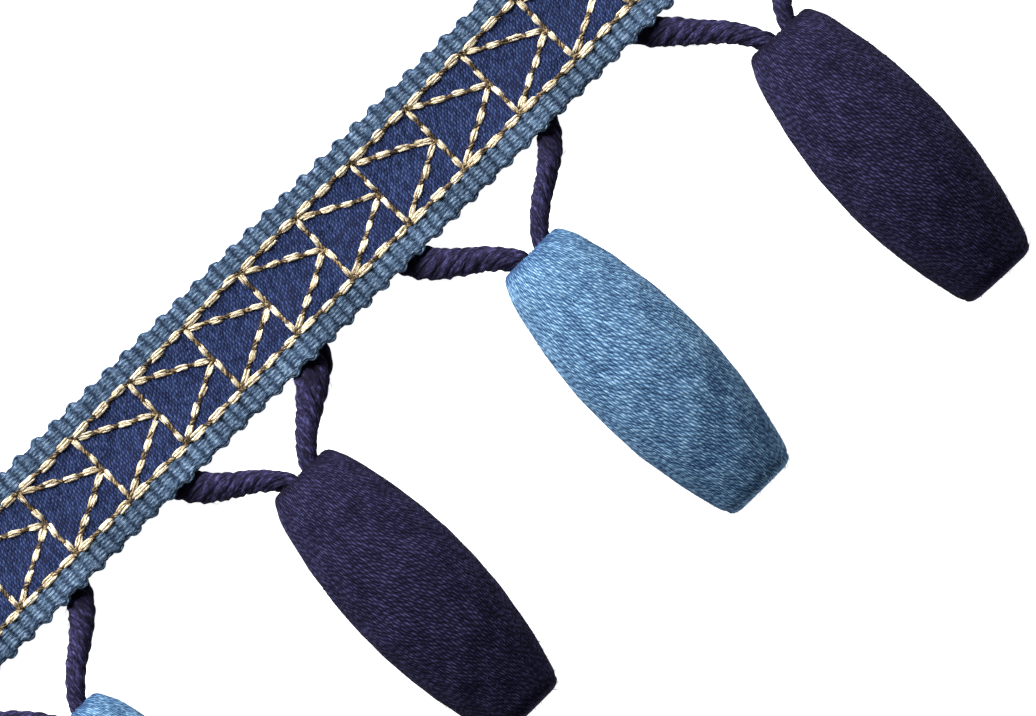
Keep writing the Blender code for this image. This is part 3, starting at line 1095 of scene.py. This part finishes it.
def drop_surface(girth, rng):
    """Points, tone and thread of a wound drop in its own frame, its seam underneath."""
    radius, along, gone = drop_profile(girth)
    rings = len(radius)
    radius, along, s = (value[:, None, None] for value in (radius, along, gone))
    offset = (np.arange(COLUMNS_PER_YARN) / COLUMNS_PER_YARN)[None, None]
    number = np.arange(YARNS_AROUND)[None, :, None] + offset
    around = 2 * np.pi * number / YARNS_AROUND - np.pi / 2
    wander = yarn_waves(gone, rng, YARN_WAVE)
    angle = around + 2 * np.pi * YARN_WANDER * wander / YARNS_AROUND
    angle = angle + YARN_SWING * np.sin(around + SWING_PHASE) * smooth_waves(s, rng, SWING_WAVE)
    angle = angle - YARN_LEAN * (s - gone.mean()) / DROP_RADIUS

    ridge = np.sin(np.pi * offset)
    field = patches(s, around, rng)
    crease = np.exp(-((DROP_LENGTH - CREASE_ABOVE_END - along) / CREASE_WIDTH) ** 2)
    rim = np.exp(-(along / RIM_REACH) ** 2)
    pitch = 2 * np.pi * radius / YARNS_AROUND
    height = YARN_RELIEF * pitch * (ridge - YARN_LEVEL) + PATCH_RISE * field + YARN_RISE * wander
    on_side = np.clip((radius - SIDE_FROM) / SIDE_REACH, 0.0, 1.0)
    full = radius + on_side * (height - CREASE_DEPTH * crease)
    x = full * np.cos(angle)
    y = RIM_UNEVEN * rim * wander - along + 0 * x
    z = np.maximum(DROP_AXIS_HEIGHT + full * np.sin(angle), 0.0)
    points = np.stack((x, y, z), axis=-1)

    tone = drop_tone(along, around, {"ridge": ridge, "patch": field, "rim": rim, "crease": crease})
    strewn = PLY_STREWN * yarn_waves(gone, rng, STREWN_WAVE)
    thread = np.stack(np.broadcast_arrays(number, s / PLY_TURN + strewn, 0 * s), axis=-1)
    return points.reshape(rings, -1, 3), tone.reshape(rings, -1), thread.reshape(rings, -1, 3)


def make_hairs(name, roots, out, along, material, slot, rng):
    """Loose fibres that rise from roots, each a thin closed tube that bends over."""
    count = len(roots)
    share = np.linspace(0.0, 1.0, HAIR_RINGS)[None, :, None]
    length = rng.uniform(*HAIR_LENGTH, (count, 1, 1))
    rise = rng.uniform(*HAIR_RISE, (count, 1, 1))
    aside = unit(np.cross(out, along))
    lean = rng.normal(0, HAIR_LEAN, (count, 1))
    forward = unit(along * np.sign(rng.normal(size=(count, 1))) + aside * lean)
    curl = rng.normal(0, HAIR_CURL, (count, 1, 1)) * aside[:, None]
    arch = np.sin(np.pi * HAIR_ARCH * share) * rise - HAIR_SINK
    level = (forward[:, None] * share + curl * share ** 2) * length
    paths = roots[:, None] + out[:, None] * arch + level
    paths[..., 2] = np.maximum(paths[..., 2], HAIR_SINK)
    radii = HAIR_RADIUS * (1.0 - HAIR_TAPER * share) * np.ones((count, 1, HAIR_SIDES))
    points = tube_points(paths, radii, HAIR_SIDES)
    tone = np.broadcast_to(rng.uniform(*HAIR_TONE, (count, 1, 1)), radii.shape)
    thread = np.broadcast_to(rng.uniform(0, HAIR_STARTS, (count, 1, 1, 1)), points.shape)
    quads = many_tubes_quads(count, HAIR_RINGS, HAIR_SIDES)
    return make_piece(name, points, quads, [material], slot, tone, thread)


def surface_hairs(name, points, count, material, slot, rng):
    """Hairs from random places of a grid of points (ring, column)."""
    rings, columns = points.shape[:2]
    ring = rng.integers(BARE_RINGS, rings - BARE_RINGS, count)
    column = rng.integers(0, columns, count)
    roots = points[ring, column]
    along = unit(points[ring + ROOT_STEP, column] - points[ring - ROOT_STEP, column])
    out = roots - points.mean(axis=1)[ring]
    out -= along * (out * along).sum(axis=1, keepdims=True)
    return make_hairs(name, roots, unit(out), along, material, slot, rng)


def drop_place(number):
    """Where a drop's frame lies, and its turn in radians."""
    _, x, hang, turn, *_ = DROPS[number - 1]
    return np.array((x, LOWER_EDGE_Y - hang, 0.0)), math.radians(turn)


def placed_drop(points, number):
    """Turns and moves points from a drop's own frame to the trim's."""
    place, turn = drop_place(number)
    c, s = math.cos(turn), math.sin(turn)
    turned = points @ np.array(((c, s, 0.0), (-s, c, 0.0), (0.0, 0.0, 1.0)))
    return turned + place


def make_drop(number, rng):
    """One wound drop in the place of its solid, with the loose fibres on it."""
    yarn, girth = DROPS[number - 1][0], DROPS[number - 1][4]
    points, tone, thread = drop_surface(girth, rng)
    points = placed_drop(points, number)
    material = MATERIALS[yarn]
    quads = tube_quads(*points.shape[:2])
    piece = make_piece(f"wound_drop_{number}", points, quads, [material], yarn, tone, thread)
    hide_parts(f"drop_{number}")
    hairy = points[HAIRLESS_RINGS:]
    surface_hairs(f"drop_fuzz_{number}", hairy, HAIRS_PER_DROP, material, yarn, rng)


def leg_route(side, hang, leg):
    """Rows of one leg from its foot to the bend: place, width, thickness and opening."""
    spread, girth, neck, bow, opening = leg
    rows = []
    for share, up, beyond, height, width, thick in LEG_ROUTE:
        bowed = share * (1.0 - bow * 4 * up * (1.0 - up)) * spread
        opened = opening * max(0.0, up - OPEN_FROM)
        rows.append((
            side * (bowed + FOOT_SLANT * beyond), up * hang + beyond, height,
            width * (girth * up + neck * (1.0 - up)), thick,
            opened * OPEN_UNDER_HEADING if beyond else opened,
        ))
    return rows


def cord_route(number):
    """Rows as (x, y, z, width, thickness, opening of the plies) along a hanger, and the way gone."""
    _, _, hang, _, _, left, right = DROPS[number - 1]
    bend = [(-x, y, height, width, width, 0.0) for x, y, height, width in BEND_ROUTE[:-1]]
    bend += [(x, y, height, width, width, 0.0) for x, y, height, width in BEND_ROUTE[::-1]]
    rows = leg_route(-1, hang, left) + bend + leg_route(1, hang, right)[::-1]
    route, gone = smooth_curve(rows, CORD_RING)
    route[:, :3] += drop_place(number)[0]
    return route, gone


def ply_surface(ply, route, gone, turn, rng):
    """Points (ring, side), tone and thread of one ply of a cord, ridged by its strands."""
    level, upright = (part[0][:, None] for part in tube_frames(route[None, :, :3]))
    width, thick, opening = (route[:, None, k] for k in (3, 4, 5))
    side = ring_angles(PLY_SIDES)
    heading = (turn + 2 * np.pi * ply / CORD_PLIES)[:, None]
    wander = PLY_WANDER * smooth_waves(gone, rng, PLY_WAVE)[:, None]
    off = PLY_OFFSET + OPEN_SPREAD * opening + wander
    start = rng.uniform(0, STRAND_STARTS)
    strand = STRANDS_PER_PLY * side - 2 * np.pi * gone[:, None] / STRAND_TURN + start
    form = PLY_RADIUS * (1.0 + STRAND_RELIEF * np.cos(strand)) * (1.0 - OPEN_THINNER * opening)
    form = form * (1.0 + PLY_UNEVEN * smooth_waves(gone, rng, PLY_UNEVEN_WAVE)[:, None])
    across = (off * np.cos(heading) + form * np.cos(side + heading)) * width / 2
    up = (off * np.sin(heading) + form * np.sin(side + heading)) * thick / 2
    points = route[:, None, :3] + level * across[..., None] + upright * up[..., None]
    points[..., 2] = np.maximum(points[..., 2], LOWEST_CORD)

    # Painted light on the ply's outer side and its strands' ridges, painted shade near the foot.
    outwards = 0.5 + 0.5 * np.cos(side)
    near_foot = np.clip(1.0 - (LOWER_EDGE_Y - route[:, 1, None]) / FOOT_REACH, 0.0, 1.0)
    tone = CORD_TONE + OUTSIDE_PAINTED_LIGHT * outwards ** 2 + STRAND_PAINTED_LIGHT * np.cos(strand) * outwards
    uneven = CORD_UNEVEN_SHADE * smooth_waves(gone, rng, CORD_SHADE_WAVE)[:, None]
    tone = tone - FOOT_PAINTED_SHADE * near_foot + uneven
    fibre = side + gone[:, None] / FIBRE_TURN
    thread = np.stack(np.broadcast_arrays(
        gone[:, None] / FIBRE_LENGTH + PLY_STEP * ply,
        FIBRE_CELLS * np.cos(fibre), FIBRE_CELLS * np.sin(fibre),
    ), axis=-1)
    return points, tone, thread


def make_hanger(number, rng):
    """One laid cord: plies of twisted strands that turn left-handed along the route."""
    route, gone = cord_route(number)
    lay = CORD_LAY * (1.0 + LAY_UNEVEN * smooth_waves(gone, rng, LAY_WAVE))
    lay = lay * (1.0 + OPEN_LAY * route[:, 5])
    turn = np.cumsum(np.gradient(gone) / lay) * 2 * np.pi
    made = [ply_surface(ply, route, gone, turn, rng) for ply in range(CORD_PLIES)]
    points, tone, thread = (np.array(values) for values in zip(*made))
    material = MATERIALS["hanger_cord"]
    quads = many_tubes_quads(CORD_PLIES, len(gone), PLY_SIDES)
    name = f"laid_cord_{number}"
    piece = make_piece(name, points, quads, [material], "hanger_cord", tone, thread)
    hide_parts(f"hanger_{number}")
    hairy = np.concatenate([ply[HAIRLESS_CORD:-HAIRLESS_CORD] for ply in points])
    surface_hairs(f"cord_fuzz_{number}", hairy, HAIRS_PER_CORD, material, "hanger_cord", rng)


def make_floor():
    """A pale floor that glows a little, like a lit table, so that shadows stay faint."""
    bpy.ops.mesh.primitive_plane_add(size=FLOOR_SIZE_M, location=(0.0, 0.0, -FLOOR_DEPTH * MM))
    floor = bpy.context.object
    floor.name = "floor"
    material = bpy.data.materials.new("pale_floor")
    material.use_nodes = True
    shader = material.node_tree.nodes["Principled BSDF"]
    shader.inputs["Base Color"].default_value = (*[FLOOR_WHITE] * 3, 1.0)
    shader.inputs["Roughness"].default_value = FLOOR_ROUGHNESS
    shader.inputs["Specular IOR Level"].default_value = 0.0
    shader.inputs["Emission Color"].default_value = (1.0, 1.0, 1.0, 1.0)
    shader.inputs["Emission Strength"].default_value = FLOOR_GLOW
    floor.data.materials.append(material)


def add_area_light(name, turn, height, distance, size, power):
    """A soft lamp aimed at the part, from a turn about Z (degrees from +Y) and a height."""
    light = bpy.data.lights.new(name, "AREA")
    light.shape = "DISK"
    light.size = size
    light.energy = power
    turn, height = math.radians(turn), math.radians(height)
    flat = distance * math.cos(height)
    place = Vector((flat * math.sin(turn), flat * math.cos(turn), distance * math.sin(height)))
    lamp = bpy.data.objects.new(name, light)
    lamp.location = place
    lamp.rotation_euler = (-place).to_track_quat("-Z", "Y").to_euler()
    bpy.context.scene.collection.objects.link(lamp)


def make_studio():
    """Soft light from the heading's side, as in the photo, and an even pale surround."""
    add_area_light("key_light", *KEY_LIGHT)
    world = bpy.data.worlds.new("studio")
    world.use_nodes = True
    background = world.node_tree.nodes["Background"]
    background.inputs["Color"].default_value = (1.0, 1.0, 1.0, 1.0)
    background.inputs["Strength"].default_value = SURROUND_LIGHT
    bpy.context.scene.world = world
    bpy.context.scene.view_settings.view_transform = "Standard"


def make_camera():
    """A long lens straight above, so that the drops show as in the photo."""
    camera = bpy.data.objects.new("camera", bpy.data.cameras.new("camera"))
    camera.data.lens = LENS
    camera.data.sensor_width = SENSOR
    view_width = PHOTO_WIDTH_PIXELS * PHOTO_SCALE
    distance = view_width * LENS / SENSOR
    camera.location = Vector((*PHOTO_CENTRE, SHARP_HEIGHT + distance)) * MM
    camera.rotation_euler = (0.0, 0.0, -math.radians(HEADING_ANGLE))
    bpy.context.scene.collection.objects.link(camera)
    bpy.context.scene.camera = camera


def main():
    make_camera()
    make_floor()
    make_studio()
    cloth = make_heading_cloth(draws("cloth"))
    stitching = [
        make_light_stitches(draws("light_stitches")),
        make_brown_stitches(draws("brown_stitches")),
        make_edge_yarn("upper_edge_yarn", HEADING_WIDTH, 1, UPPER_LOOPS),
        make_edge_yarn("lower_edge_yarn", 0.0, -1, LOWER_LOOPS),
    ]
    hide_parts("heading")
    for number in range(1, len(DROPS) + 1):
        make_drop(number, draws("drops", number))
        make_hanger(number, draws("hangers", number))


main()
